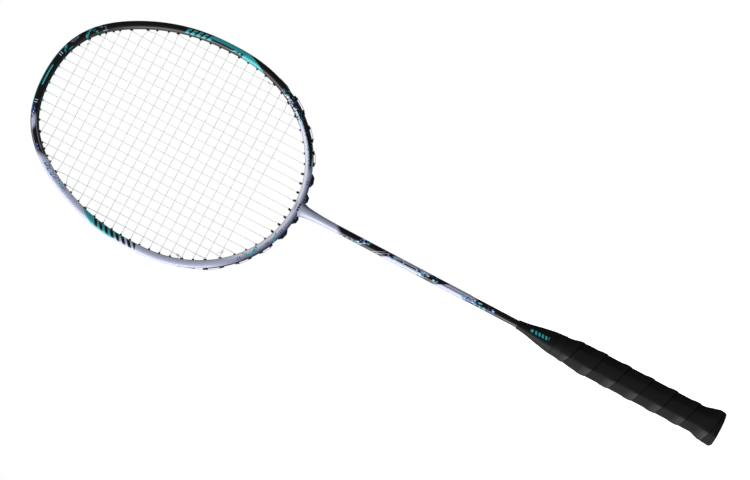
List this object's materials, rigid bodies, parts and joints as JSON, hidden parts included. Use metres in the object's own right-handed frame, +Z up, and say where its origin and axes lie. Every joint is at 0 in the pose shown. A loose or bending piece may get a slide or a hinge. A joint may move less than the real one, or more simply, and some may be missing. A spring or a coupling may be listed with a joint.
{
  "type": "badminton racket",
  "caption": "Badminton racket with a strung oval head, moulded throat, slim round shaft, cone cap and wrapped octagonal handle.",
  "frame": {"origin": "centre of the butt end's flat face", "axes": "+Z up the shaft to the tip of the head, the string bed lies in the XZ plane, its front looks along -Y, +X is to the right of the front"},
  "size_m": [0.2031, 0.0304, 0.675],
  "materials": {
    "hoop_paint": "clear-coated pearl silver paint over carbon, with black, teal and speckled stretches",
    "shaft_paint": "clear-coated black lacquer over carbon with silver and teal flashes",
    "insert": "moulded resin insert",
    "cone_plastic": "gloss black moulding",
    "handle_wood": "plain pale wood",
    "staple_steel": "bright wire",
    "grip": "matt black wrapped grip with fine grain",
    "gloss_tape": "satin black vinyl tape",
    "butt_plastic": "matt black moulding",
    "grommet_teal": "satin teal nylon",
    "grommet_black": "satin black nylon",
    "string": "white braided nylon string"
  },
  "bodies": {
    "root": {"frame_hoop": "hoop_paint", "t_joint": "insert", "shaft_tube": "shaft_paint", "cone_cap": "cone_plastic", "handle_core": "handle_wood", "grip_staple": "staple_steel", "grip_tape": "grip", "finishing_tape": "gloss_tape", "butt_cap": "butt_plastic", "grommet_strip_tip": "grommet_teal", "grommet_strip_shoulder_right": "grommet_black", "grommet_strip_upper_side_right": "grommet_black", "grommet_strip_side_right": "grommet_black", "grommet_strip_lower_side_right": "grommet_black", "grommet_strip_corner_right": "grommet_black", "grommet_pad_outer_right": "grommet_black", "grommet_pad_inner_right": "grommet_black", "grommet_strip_shoulder_left": "grommet_black", "grommet_strip_upper_side_left": "grommet_black", "grommet_strip_side_left": "grommet_black", "grommet_strip_lower_side_left": "grommet_black", "grommet_strip_corner_left": "grommet_black", "grommet_pad_outer_left": "grommet_black", "grommet_pad_inner_left": "grommet_black", "main_string": "string", "cross_string": "string"}
  },
  "joints": []
}
